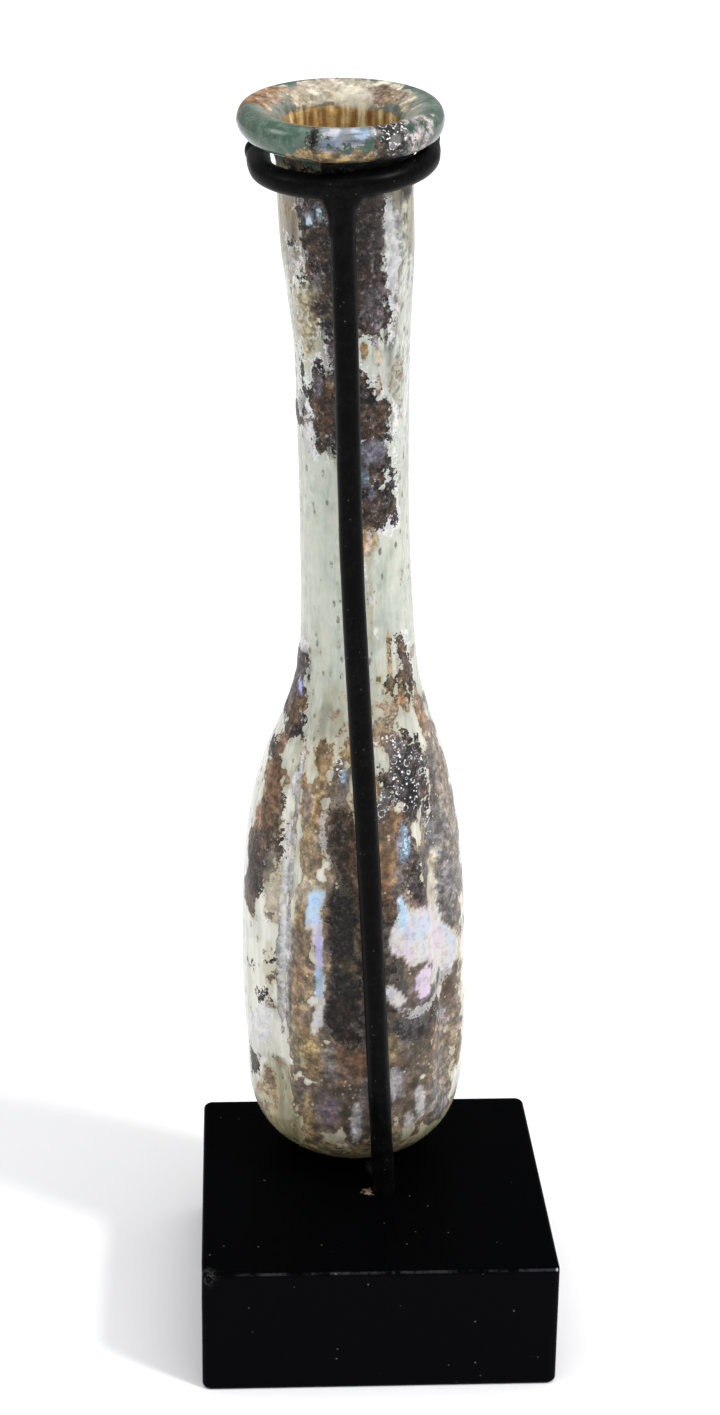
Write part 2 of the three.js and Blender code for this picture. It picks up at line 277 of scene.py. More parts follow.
def pressed_in(angle, height):
    """Depth of the creases, a bell curve across each leaning line, and of the flatter front, all fading
    out at the foot and the shoulder."""
    fade = smoothstep(height, CREASE_FOOT, CREASE_FOOT + 10)
    fade = fade * (1 - smoothstep(height, CREASE_TOP - 14, CREASE_TOP))
    share = np.clip((height - CREASE_FOOT) / (CREASE_TOP - CREASE_FOOT), 0, 1)
    depth = FRONT_FLATTENING * np.maximum(np.cos(angle), 0) ** 2
    for low, high in CREASES:
        away = angle - (low + (high - low) * share) * DEGREE
        away = np.arctan2(np.sin(away), np.cos(away))
        depth = depth + CREASE_DEPTH * np.exp(-(away / (CREASE_HALF_WIDTH * DEGREE)) ** 2)
    return depth * fade


def beside_centre_line(across, back, height):
    """A place in the leaning flask's own frame: across and back from the centre line, and its height."""
    return np.stack(np.broadcast_arrays(
        BOTTLE_FOOT[0] + centre_offset(height) + across,
        BOTTLE_FOOT[1] - height * math.sin(LEAN) + back * math.cos(LEAN),
        BOTTLE_FOOT[2] + height * math.cos(LEAN) + back * math.sin(LEAN)), axis=-1)


def place_on_flask(turned, angle, height):
    """Presses, tilts, bends and leans a point of the upright turned form."""
    radius = np.maximum(turned - pressed_in(angle, height) * np.minimum(turned / 8, 1), 0)
    x = radius * np.sin(angle)
    y = -radius * np.cos(angle)
    oblique = smoothstep(height, RIM_HEIGHT - RIM_TILT_RUN, RIM_HEIGHT - RIM_HALF_THICKNESS)
    lift = oblique * (y * math.tan(RIM_TILT_BACK) + x * math.tan(RIM_TILT_SIDE))
    place = beside_centre_line(x, y, height)
    place[..., 1] -= lift * math.sin(LEAN)
    place[..., 2] += lift * math.cos(LEAN)
    return place


radius, height, way = flask_profile()
angle = np.linspace(-math.pi, math.pi, GRID_COLUMNS, endpoint=False)
RADIUS, ANGLE = np.meshgrid(radius, angle, indexing="ij")
HEIGHT = np.broadcast_to(height[:, None], ANGLE.shape)
WAY = np.broadcast_to(way[:, None], ANGLE.shape)
past_lip = np.arange(len(height)) > np.argmax(height)
BORE_TOP = float(way[past_lip & (height < NECK_TOP)][0])
print("rows:", len(radius), "way of the bore in mm:", round(BORE_TOP, 1), "to", round(float(way[-1]), 1))

# %% [markdown]
# ## Where the weathering lies
#
# Two thousand years in the ground left a brown to black crust, soil, a chalky film at the crust's broken
# edges and thin flakes that shine blue, lilac and pink. Each patch is an outline on the unrolled wall:
# degrees round from the front, and way along the wall in mm. The mesh keeps how deep inside its outline
# each point lies, and the paint breaks up that edge more finely.
#
# Soil is laid on like watercolour, wash over wash. Sheens tint the flakes so too, froth marks burst
# bubbles, with their rings and sparkles painted white as highlights, gold marks amber stains in the glass,
# and the throat is amber all round.

# %% Where the weathering lies


def outlines(text):
    """Outlines parted by semicolons. Each corner is degrees round, a comma and the way in mm."""
    return [[tuple(map(float, corner.split(","))) for corner in row.split()] for row in text.split(";")]


CRUST = outlines("""
    -30,152.5 -40,147 -47,145.5 -44,142 -42,138.5 -41,137 -46,137.6 -52,136.6 -47,135.6 -41,135.8 -36,134
    -43,132.6 -44,131.4 -39,130.5 -31,131.2 -28,129 -26,126 -21,123.5 -15,124 -10,127 0,128.3 10,128.8
    20,128.6 30,129.6 33,127.8 35,129.8 39,130.4 37,133 33,136 29,138.5 28,141 27,144 30,147 35,152.5;
    -61,141.6 -52,141.4 -50,140.2 -60,140;
    -68,125.4 -62,126 -57,125 -57,122.5 -48,121 -45,125 -37,125.5 -27,124 -20,123 -15,120 -14,113
    -22,112.5 -30,113 -38,112.3 -45,113.2 -46,116.5 -45,119.5 -52,119.8 -60,119.5 -66,121 -64,123.5;
    -95,118.5 -72,118.3 -70,117 -60,118.3 -57,117 -60,115.4 -72,115 -95,115.5;
    -8,125 3,124.5 12,124 20,121.5 30,120 40,118 39,115 44,114.5 40,112.7 30,114 20,113.5 10,114.5 3,115
    -8,115;
    3,109.5 18,109 28,108 34,109 33,111.5 38,112 44,109.5 45,106 47,103.5 50,102.8 45,101.7 38,103
    33,102.5 28,101.6 15,101.8 8,103 4,105.5 -4,107;
    34,85 44,85.2 52,84 58,81.5 61,79 62,77 56,76 50,77.5 50,75.5 46,75.3 44,79 40,81.5;
    25,79.5 32,80 38,79.5 39,78 32,77 26,77.8;
    34,72.5 40,72 48,70.5 52,66 54,62 50,59 46,58.5 44,61 38,60.2 30,61 22,63 12,66 11,68 20,67.5 30,68.5
    34,70;
    24,60 30,60 33,57 38,55 42,50 41,46 36,46 30,48 27,52 24,56;
    -17,61.5 -10,62 -3,61.5 0,58 0,50 -8,50 -12,53 -17,56;
    -18,50 -8,50 2,50 2,35 0,26 -6,24 -12,26 -19,28 -18,34 -14,38 -17,44;
    3,50 22,49 24,46 20,44 17,41 20,37 15,34 22,30 14,29 3,28;
    14,31 22,29 30,28 40,28.4 48,29.8 54,29 48,26.6 42,25 30,24.6 20,26 12,28;
    -95,82 -62,82.2 -56,81 -56,79 -57,77 -52,75 -49,72 -50,70.5 -56,69.5 -66,70 -78,71.5 -95,72;
    -90,68.5 -68,68.8 -60,67 -52,63 -48,58 -47,53 -52,50 -58,46 -64,44 -72,45 -76,49 -73,54 -66,57.5
    -70,59.5 -66,62 -72,65 -85,66.5;
    -62,29.8 -57,30.6 -52,30.4 -53,29 -60,28.4;
    -52,37 -57,35 -53,34.4 -56,32 -52,33.4 -50,35;
    -74,33.4 -66,33.8 -70,32.4;
    -52,43.5 -54,41.6 -51,42;
    -19,163 -16,162 -14,159 -16,156 -19,157.5 -20,160;
    -82,18 -66,18 -66,14 -78,13;
    15,163 36,163 38,157 33,154 22,154 16,157;
    -4,116 34,115.5 34,110 28,108 -4,108
""")
FILM = outlines("""
    27,148 40,147 48,140 45,133 40,130 44,127 34,127.5 30,137;
    -60,119 -46,119.5 -45,113 -40,111 -48,110.5 -57,113;
    40,119.5 50,119 45,113 50,108 56,104 52,101 38,100.4 25,100.8 30,103 44,102 46,105 44,110 40,113;
    50,86 60,86 64,84 58,82.5 52,84.5;
    -90,84 -60,83.5 -56,82 -90,81;
    -52,30 -62,27.5 -74,24 -66,20 -54,22;
    -24,60.5 -17,62 -17,56 -12,53 -16,53 -20,55.5 -22,58;
    20,31 30,29.8 42,30.6 52,32.4 60,35.4 66,36.5 62,33.2 52,30.2 40,28.8 28,28.2 20,29.6;
    5,97 8,97 14,91 20,85 17,85 11,91;
    -48,68 -44,60 -44,45 -46,30 -49,30 -48,45 -47,60
""")
FLAKE = outlines("""
    -26,49 -19,49.5 -22,46 -20,44 -20,38 -19,33 -21,28 -25,26.5 -22,31 -22,38 -23,43.8 -28,43.8 -27,46;
    23,48 26,47 29,45.5 44,45.2 52,44.2 55,41.5 62,39.2 67,37 67,34.5 58,33.5 52,34.6 48,33 45,36.6
    36,37.8 29,37.4 25,39 19,40 17,42 20,44.5 24,45;
    33,34.6 38,36 44,35 41,33.8 40,31.8 34,32.2;
    13,34.2 18,34 25,31.8 20,31.2 15,33;
    -74,78 -64,78 -60,76.4 -68,76.2;
    27,58.8 29,58.6 30,55.6 28.6,54.6 27,55.4 28,57;
    -16,162.5 -4,163.2 13,162.6 17,160.4 13,159.4 4,158.7 -8,158.3 -15,158.8 -12,160;
    -35,145.3 -30,145 -31,144 -35,144.2;
    -27,146.3 -22,145.9 -25,145
""")
PIGMENT = dict(
    black=(0.014, 0.013, 0.014), umber=(0.06, 0.038, 0.026), rust=(0.17, 0.08, 0.035),
    sienna=(0.3, 0.17, 0.08), tan=(0.27, 0.205, 0.135), ochre=(0.3, 0.22, 0.105), olive=(0.24, 0.22, 0.12),
    grey=(0.2, 0.19, 0.185), slate=(0.085, 0.085, 0.1), cream=(0.62, 0.58, 0.46), chalk=(0.7, 0.7, 0.73),
    plum=(0.13, 0.1, 0.13), loam=(0.11, 0.088, 0.074), silver=(0.42, 0.43, 0.44), honey=(0.5, 0.31, 0.1),
    lilac=(0.33, 0.33, 0.44), sky=(0.3, 0.46, 0.62), mist=(0.36, 0.42, 0.36), moss=(0.4, 0.4, 0.24),
    steel=(0.23, 0.25, 0.28), pearl=(0.61, 0.59, 0.58), rose=(0.62, 0.52, 0.66), ice=(0.46, 0.66, 0.84),
    violet=(0.42, 0.4, 0.68),
)
# Each wash: degrees round, way, half width in degrees, half height in mm, pigment, cover in percent.
# The black wash at way 151.8, under the rim round the front, is partly dark crust and partly painted shade.
WASHES = """
    -30 42 8 10 tan 95; -24 13 14 7 loam 80; 5 42 42 30 tan 95; 8 20 56 17 loam 90; 26 34 30 14 loam 80;
    20 57 14 10 sienna 85; 52 50 12 9 cream 60; 66 56 18 22 grey 80; 64 34 12 12 grey 50;
    -9 43 9 10 black 95; -10 57 8 6 umber 95; -3 56 3 6 rust 60; -62 60 14 10 sienna 95;
    -66 66 12 5 rust 50; -66 74 16 3 sienna 80; -66 80.5 14 2 umber 60; -70 49 9 7 umber 90;
    -52 57 4 9 tan 80; -45.5 46 1.6 22 chalk 90; -42 46 2.6 26 silver 95; -47.5 32 2.4 14 silver 90;
    -37 38 3 12 cream 50; -52 49 7 7 cream 70; -58 12 12 6 tan 40; -25 68 8 4 ochre 50;
    -12 66 8 4 slate 70; -28 70 4 3 umber 60; -8 70 10 2 ochre 50; -31 58 8 8 ochre 90; -27 53 8 5 tan 95;
    43 56 4 6 ochre 70; 30 57 5 5 slate 85; -33 62 4 3 plum 60; -54 34 4 5 sienna 30; -25 61 3 2 rust 70;
    -26 49 9 3 cream 50; -33 40 6 8 umber 75; -27 36 4 6 tan 80; -38 29 6 9 umber 55; -30 29 5 7 tan 70;
    -36 23 6 4 olive 60; -32 44 5 3 ochre 70; -35 33 4 4 sienna 50; -26 25 5 3 ochre 80;
    -24 22 6 4 ochre 70; -15 21 6 4 grey 60; -18 14 7 4 plum 80; -6 13 5 5 umber 80; -29 10 5 5 ochre 70;
    -12 5 24 3 olive 60; -8 26 6 8 rust 60; -9 31 10 8 black 80; 0 20 5 4 rust 70; 3 17 5 3 grey 80;
    -2 12 3 4 chalk 50; -10 8 4 2 cream 70; 16 59 7 6 umber 80; 15 52 6 4 rust 80; 18 64 8 3 slate 70;
    12 66 4 3 ochre 60; 25 52 6 5 slate 80; 22 35 6 5 black 85; 29 37 6 3 umber 80; 34 33 6 3 plum 70;
    50 32 13 2.6 grey 85; 44 29.6 8 1.8 umber 85; 56 25 5 3 lilac 60; 30 27 15 3 slate 80;
    18 24 4 3 ochre 70; 22 21 5 2 umber 70; 20 18 5 3 chalk 50; 36 22 9 4 umber 70; 46 24 5 4 sienna 50;
    42 18 6 3 tan 60; 28 14 9 4 umber 60; 35 13 3 3 chalk 60; 28 10 4 2 chalk 60; 20 8 8 4 olive 60;
    52 14 12 8 grey 60; 62 20 10 9 tan 40; 54 9 12 3 slate 50; 45 57 5 4 olive 70; 42 52 7 6 slate 80;
    47 57 5 8 slate 80; 48 48 6 4 cream 80; 60 53 10 9 grey 60; 70 62 8 10 tan 45; 62 44 9 6 slate 55;
    59 31.5 9 4 umber 80; -20 72 24 9 ochre 22; 20 76 18 6 ochre 16; 62 73 7 5 sienna 50;
    56 62 5 8 slate 70; 36 66 12 5 slate 70; 20 72 16 4 grey 35; 31 66 20 7 slate 75;
    36 61.5 7 4 black 85; 44 80 6 7 sienna 50; 30 82 3 4 ochre 60; 26 57 3 4 lilac 80; 27 55 2 1.5 sky 90;
    34 49 7 5 plum 70; -10 67 3 1.6 sky 80; -38 65 2.4 1 sienna 100; -38 146 10 2 slate 70;
    -33 144.6 3 1 sky 90; -25 145.5 3 1 lilac 90; -38 138.4 5 1.6 rust 90; -30 136.4 4 1.4 silver 70;
    -38 132.4 6 2 rust 90; -24 127 3 2 plum 90; -26 122 4 1.5 sienna 90; -40 122 8 2 lilac 60;
    -35 117 9 4 rust 70; 20 143 14 6 slate 60; 22 133 14 4 lilac 45; 18 138.6 1.5 0.6 chalk 100;
    20 128.4 4 0.9 lilac 100; 10 127 6 1.8 honey 70; 22 126.4 8 1.4 cream 80; 23 122 3 1.6 tan 90;
    14 116 14 1.6 rust 60; 12 112.6 18 2.2 lilac 95; 8 110 6 1.2 sky 80; 15 107 5 1.3 lilac 95;
    15 104 14 2 black 60; 14 100.4 9 1.8 honey 50; -45 131 14 5 moss 50; -62 138 12 2.5 chalk 50;
    -60 145 10 1.4 tan 45; 40 139 12 10 silver 75; 55 143 8 4 mist 50; 48 122 10 5 mist 45;
    -56 115 8 4 chalk 80; -64 130 14 8 cream 30; 12 92 4 9 chalk 35; 40 151.8 84 4.2 black 100;
    18 141 16 6 black 50; -8 157 26 1.6 ochre 80; 50 159 14 4.5 silver 55; 26 161.5 9 4 black 90;
    28 159 4 1.2 chalk 70; 180 163.8 75 3.4 cream 60; -118 162 26 3 sienna 60; -95 160.5 14 2.6 rust 55;
    138 164.6 16 2 rust 60; 165 165.6 20 1.6 cream 70; 160 40 26 22 tan 70; -165 50 16 20 ochre 60;
    180 24 30 14 umber 50; -140 118 16 12 umber 40; 120 128 18 14 sienna 50; 180 56 18 12 chalk 40
"""
SHEENS = """
    25.5 46 3.5 3 ice 90; 27 42 2.5 2.5 violet 50; 42 45.4 5 1.2 rose 35; 50 39.5 6 1.6 rose 40;
    38 34 9 3 rose 90; -24 47.5 6 3.6 ice 90; -21 40 3 5 violet 90; -21 35 3 4 sky 80;
    -68 77.2 12 2.6 violet 100; 27.5 57 5 5 ice 90; -26 145 12 2 ice 80; 0 159 26 9 steel 100;
    9 161 5 1.6 ice 45; -6 157 8 1.2 violet 40; -9 161.5 6 1.6 pearl 70; 4 158.6 8 0.7 pearl 60
"""
FAR = 6.0
BARE_SOIL = (0.16, 0.1, 0.06)
THROAT_TOP = 166.8
THROAT_COLOUR = (0.5, 0.33, 0.12)
# Where bubbles burst: rings and sparkles painted white as highlights.
FROTH_WITH_GLINTS = [(32, 65, 22, 6), (22, 70.5, 15, 1.8), (-14, 68, 8, 3), (28, 161, 10, 4), (48, 60, 7, 4)]
GOLD = [(-44, 11, 20, 11, 1.0), (-20, 66, 34, 20, 0.25), (30, 64, 40, 24, 0.22), (-36, 40, 12, 24, 0.35),
        (-52, 70, 10, 12, 0.3), (-45, 131, 16, 7, 0.4), (60, 30, 16, 12, 0.3)]
BACK_CRUST = outlines("""
    104,140 122,143 138,136 132,122 118,118 106,126;
    -170,128 -150,132 -134,120 -142,108 -162,106 -174,116;
    120,58 150,62 160,46 148,30 126,28 114,42;
    -176,40 -158,44 -150,30 -160,18 -178,22
""")


def depth_inside(outline, angle, way, scale):
    """Distance in mm to the nearest side of the outline, positive inside it by the even-odd rule.
    Degrees are turned into mm of arc with the given radius."""
    corner = np.array(outline)
    corner[:, 0] *= DEGREE * scale
    middle = corner[:, 0].mean()
    turn = 2 * math.pi * scale
    x = angle * scale
    x = x - turn * np.round((x - middle) / turn)
    nearest = np.full(x.shape, 1e9)
    inside = np.zeros(x.shape, bool)
    for (ax, ay), (bx, by) in zip(corner, np.roll(corner, -1, axis=0)):
        ux, uy = bx - ax, by - ay
        t = np.clip(((x - ax) * ux + (way - ay) * uy) / (ux * ux + uy * uy), 0, 1)
        nearest = np.minimum(nearest, (x - ax - t * ux) ** 2 + (way - ay - t * uy) ** 2)
        if uy:
            inside ^= ((ay > way) != (by > way)) & (x < ax + ux * (way - ay) / uy)
    return np.where(inside, 1, -1) * np.sqrt(nearest)


def depth_in_patches(patches):
    """The greatest depth over all outlines. Only rows near an outline are measured, the rest are far."""
    field = np.full(ANGLE.shape, -FAR)
    for outline in patches:
        ways = [corner[1] for corner in outline]
        low, high = min(ways), max(ways)
        near = (way > low - FAR) & (way < high + FAR)
        scale = float(np.interp((low + high) / 2, way, radius))
        depth = depth_inside(outline, ANGLE[near], WAY[near], scale)
        field[near] = np.maximum(field[near], depth)
    return field


def spot(middle, at, half_turn, half_way):
    """1 in the middle of an ellipse on the unrolled wall, falling to 0 at its wobbling edge."""
    turn = ANGLE - middle * DEGREE
    turn = np.arctan2(np.sin(turn), np.cos(turn)) / (half_turn * DEGREE)
    return 1 - smoothstep(np.hypot(turn, (WAY - at) / half_way) + WOBBLE, 0.72, 1.08)


def washed(washes, start):
    """Colour and cover of the washes. Inside its spot each moves both towards its own by its strength."""
    colour = np.zeros(ANGLE.shape + (3,)) + start
    cover = np.zeros(ANGLE.shape)
    for wash in washes.split(";"):
        *area, pigment, percent = wash.split()
        share = float(percent) / 100 * spot(*map(float, area))
        colour += share[..., None] * (np.array(PIGMENT[pigment]) - colour)
        cover += share * (1 - cover)
    return colour, cover


crust, film, flake = map(depth_in_patches, (CRUST + BACK_CRUST, FILM, FLAKE))
place = place_on_flask(RADIUS, ANGLE, HEIGHT)
WOBBLE = 0.45 * lumps(place, 2.6, 11) + 0.3 * lumps(place, 1.2, 12)
soil_colour, soil = washed(WASHES, BARE_SOIL)
throat = smoothstep(WAY + WOBBLE, THROAT_TOP - 0.4, THROAT_TOP + 0.3) * (1 - smoothstep(WAY, 174, 192))
soil_colour += throat[..., None] * (np.array(THROAT_COLOUR) - soil_colour)
soil = np.maximum(soil, throat)
sheen, _ = washed(SHEENS, PIGMENT["pearl"])
soil_colour = np.where((flake > -0.4)[..., None], sheen, soil_colour)
froth = sum(spot(*area) for area in FROTH_WITH_GLINTS)
gold = np.minimum(1, sum(strength * spot(*area) for *area, strength in GOLD))
inner = (WAY > BORE_TOP).astype(float)
print("share of the wall under crust:", round(float((crust > 0).mean()), 3))

# %% Relief of the flask
CRUST_THICKNESS = 0.16
SOIL_THICKNESS = 0.05
FLAKE_LIFT = 0.05


def flask_relief():
    """Height of crust, soil and flakes over the glass in mm, and none near the poles and inside."""
    ragged = crust + 0.5 * lumps(place, 1.6, 3) + 0.25 * lumps(place, 0.7, 4)
    rough = 0.6 + 0.4 * lumps(place, 0.9, 5)
    over = CRUST_THICKNESS * smoothstep(ragged, -0.1, 0.5) * rough
    over += SOIL_THICKNESS * soil * (0.5 + 0.5 * lumps(place, 1.1, 6))
    over += FLAKE_LIFT * smoothstep(flake, 0, 0.3)
    over += 0.05 * lumps(place, 9, 7) + 0.02 * lumps(place, 3.5, 8)
    return over * smoothstep(RADIUS, 2, 6) * (1 - inner)


thickened = RADIUS + flask_relief()
red, green, blue = np.moveaxis(soil_colour, -1, 0)
fields = dict(crust=crust, film=film, flake=flake, soil=soil, froth=froth, inner=inner, gold=gold,
              way=WAY, red=red, green=green, blue=blue)
flask = make_mesh("flask", [closed_grid(place_on_flask(thickened, ANGLE, HEIGHT))],
                  {label: on_vertices(values) for label, values in fields.items()})

# %% [markdown]
# ## The mount
#
# The mount maker bent a thin rod by hand to follow the flask, brazed an open fork to its top and a short
# prong to its foot, and painted it all black. Here each wire is a tube along a curve, and the tubes are
# fused into one skin, as brazing does.

# %% The mount
FORK_HEIGHT = 151
FORK_WIRE_RADIUS = 1.65
FORK_CLEARANCE = 0.45
FORK_ARM_REACH = 5.6
FORK_ARM_SPLAY = 0.2
FORK_TILT_BACK = 10.5 * DEGREE
FORK_TILT_SIDE = 4.3 * DEGREE
ROD_TOP_ACROSS = -0.6
FILLET_ACROSS = -0.8
FILLET_HEIGHT = 6.4
FILLET_REACH = 2.9
FILLET_FLATNESS = 0.42
ROD_SEAT_DEPTH = 12
ROD_BENDS = [
    (9.7, 3.1, 0.45), (28.6, 2.4, 0.5), (57.2, 1.3, 1.3), (78.3, -0.47, 5.2), (100.8, -1.05, 4.8),
    (126.9, -1.2, 2.7), (141, -0.95, 0.85),
]
PRONG_RADIUS = 1.2
PRONG_TIP_HEIGHT = 3.9
PRONG_TIP_ACROSS = 2.1
PRONG_CLEARANCE = 0.42
CAP_ROWS = 6
FORK_RADIUS = float(outer_radius(FORK_HEIGHT)) + FORK_CLEARANCE + FORK_WIRE_RADIUS


def resampled(path, spacing):
    """The path cut anew into steps of about that length."""
    length = np.concatenate([[0], np.cumsum(np.linalg.norm(np.diff(path, axis=0), axis=1))])
    even = np.linspace(0, length[-1], max(int(length[-1] / spacing), 3) + 1)
    return np.stack([np.interp(even, length, path[:, k]) for k in range(3)], axis=1), even


def tube(path, thickness, columns=28, flat=1.0, cap=1.0):
    """A closed skin round a path with a radius for each row. Each row stands square to the path, and
    each end is closed by a half ball, or by a lower cap."""
    ahead = np.gradient(path, axis=0)
    ahead /= np.linalg.norm(ahead, axis=1, keepdims=True)
    side = np.cross(ahead, [0.03, 0.999, 0.02])
    side /= np.linalg.norm(side, axis=1, keepdims=True)
    third = np.cross(ahead, side)
    bulge = np.linspace(0, math.pi / 2, CAP_ROWS + 1)[:-1]
    first = path[0] - cap * ahead[0] * (thickness[0] * np.cos(bulge))[:, None]
    final = path[-1] + cap * ahead[-1] * (thickness[-1] * np.cos(bulge[::-1]))[:, None]
    line = np.concatenate([first, path, final])
    size = np.concatenate([thickness[0] * np.sin(bulge), thickness, thickness[-1] * np.sin(bulge[::-1])])
    side, third = (np.pad(v, ((CAP_ROWS, CAP_ROWS), (0, 0)), mode="edge") for v in (side, third))
    turn = np.linspace(0, 2 * math.pi, columns, endpoint=False)
    across = size[:, None] * np.cos(turn)
    up = size[:, None] * np.sin(turn) * flat
    points = line[:, None] + across[..., None] * side[:, None] + up[..., None] * third[:, None]
    return closed_grid(points)


def fork_point(across, back):
    """A place in the fork's own tilted plane, across to the right and back from the front."""
    right = np.array([math.cos(FORK_TILT_SIDE), 0, math.sin(FORK_TILT_SIDE)])
    rear = np.array([0, math.cos(FORK_TILT_BACK), math.sin(FORK_TILT_BACK)])
    return beside_centre_line(0, 0, FORK_HEIGHT) + across * right + back * rear


def fork_line():
    """Left arm, half circle round the front of the neck, right arm."""
    turns = np.linspace(0, math.pi, 11)
    arms = [fork_point(-FORK_RADIUS - FORK_ARM_SPLAY * s, FORK_ARM_REACH * s) for s in (1, 0.5)]
    bend = [fork_point(-FORK_RADIUS * math.cos(t), -FORK_RADIUS * math.sin(t)) for t in turns]
    ends = [fork_point(FORK_RADIUS + FORK_ARM_SPLAY * s, FORK_ARM_REACH * s) for s in (0.5, 1)]
    return spline(arms + bend + ends, 12)


def glass_radius(height):
    """Outer radius of the flask before it is pressed."""
    if height < FOOT_DEPTH:
        return float(superellipse(height, FOOT_DEPTH, FOOT_RADIUS))
    return float(outer_radius(height))


def rod_line():
    """Upright in the block, then bend by bend in front of the glass, and up into the fork."""
    points = [(*ROD_FOOT, BLOCK_HEIGHT - share * ROD_SEAT_DEPTH) for share in (1, 0.4, 0)]
    for height, across, clear in ROD_BENDS:
        back = float(pressed_in(0.0, height)) - glass_radius(height) - clear - ROD_RADIUS
        points.append(tuple(beside_centre_line(across, back, height)))
    points.append(tuple(fork_point(ROD_TOP_ACROSS, -FORK_RADIUS)))
    return spline(points, 16)


def prong_line():
    """From the rod's foot back to just clear of the flask's rounded bottom."""
    nudge = 0.05
    glass = glass_radius(PRONG_TIP_HEIGHT)
    out = np.array([nudge, glass - glass_radius(PRONG_TIP_HEIGHT + nudge)])
    out *= (PRONG_RADIUS + PRONG_CLEARANCE) / np.linalg.norm(out)
    tip = beside_centre_line(PRONG_TIP_ACROSS, -(glass + out[0]), PRONG_TIP_HEIGHT + out[1])
    return np.linspace((*ROD_FOOT, BLOCK_HEIGHT + PRONG_RADIUS), tip, 5)


def brazed_mount():
    """The tubes of the mount: hand-bent rod, fork with a knob at each tip, flat fillet and prong."""
    rod, _ = resampled(rod_line(), 0.6)
    fork, along = resampled(fork_line(), 0.35)
    from_tip = np.minimum(along, along[-1] - along)
    knob = 0.12 * np.exp(-(from_tip / 0.9) ** 2) - 0.28 * np.exp(-((from_tip - 1.7) / 0.55) ** 2)
    wire = FORK_WIRE_RADIUS + knob + 0.05 * lumps(fork, 4, 21)
    share = np.linspace(0, 1, 20)
    top = fork_point(FILLET_ACROSS, -FORK_RADIUS)
    fillet = top + np.array([0, 0, 1]) * (FILLET_HEIGHT * (share - 1))[:, None]
    spread = ROD_RADIUS * 0.98 + FILLET_REACH * share ** 3
    prong = prong_line()
    return [
        tube(rod, ROD_RADIUS + 0.03 * lumps(rod, 6, 22)),
        tube(fork, wire),
        tube(fillet, spread, 40, FILLET_FLATNESS, 0.2),
        tube(prong, np.full(len(prong), PRONG_RADIUS), 20),
    ]


mount = make_mesh("mount", brazed_mount())
fuse = mount.modifiers.new("fused by brazing", "REMESH")
fuse.mode = "VOXEL"
fuse.voxel_size = 0.24 * MM
fuse.use_smooth_shade = True
soften = mount.modifiers.new("paint fills the steps", "SMOOTH")
soften.factor = 0.5
soften.iterations = 8

# %% [markdown]
# ## The block
#
# The base is a plain square slab of wood, sanded, its edges eased, drilled for the rod and lacquered
# black. Its skin is one grid from the middle of the underside round the edges and over the top, down to
# the floor of the hole.

# %% The block
BLOCK_EDGE = 0.7
EDGE_ROWS = 7
SIDE_COLUMNS = 28
CORNER_COLUMNS = 9
TOP_ROWS = (0.02, 0.05, 0.1, 0.2, 0.35, 0.5, 0.65, 0.8, 0.9, 0.96, 0.99)
CHIP_CORNER = (-25.4, -25.4, 19.05)
BRUISE_DEPTH = 0.35
BRUISE_REACH = 2.2
# A highlight is painted along this front top edge.
TOP_FRONT_EDGE = (0, -25.2, 18.85)
# A glint is painted as a small bright dot on this front right top corner.
PAINTED_GLINT_CORNER = (25.1, -25.1, 18.85)
CRUMB = (-0.8, -3.4, 19.05)
LACQUER = (0.001, 0.0011, 0.0014)
# The sides get a lighter black than the top: painted light, as light falls on them.
SIDES_PAINTED_LIGHTER = (0.003, 0.003, 0.0038)


def rounded_square(half, corner):
    """Points round a square of that half width with rounded corners, in one turn."""
    turns = np.linspace(0, math.pi / 2, CORNER_COLUMNS)
    arc = np.stack([np.cos(turns), np.sin(turns)], axis=1) * corner + half - corner
    run = np.linspace(0, 1, SIDE_COLUMNS)[1:-1, None]
    next_start = np.array([-(half - corner), half])
    side = arc[-1] + (next_start - arc[-1]) * run
    x, y = np.concatenate([arc, side]).T
    return np.concatenate([np.stack(turned, axis=1) for turned in ((x, y), (-y, x), (-x, -y), (y, -x))])


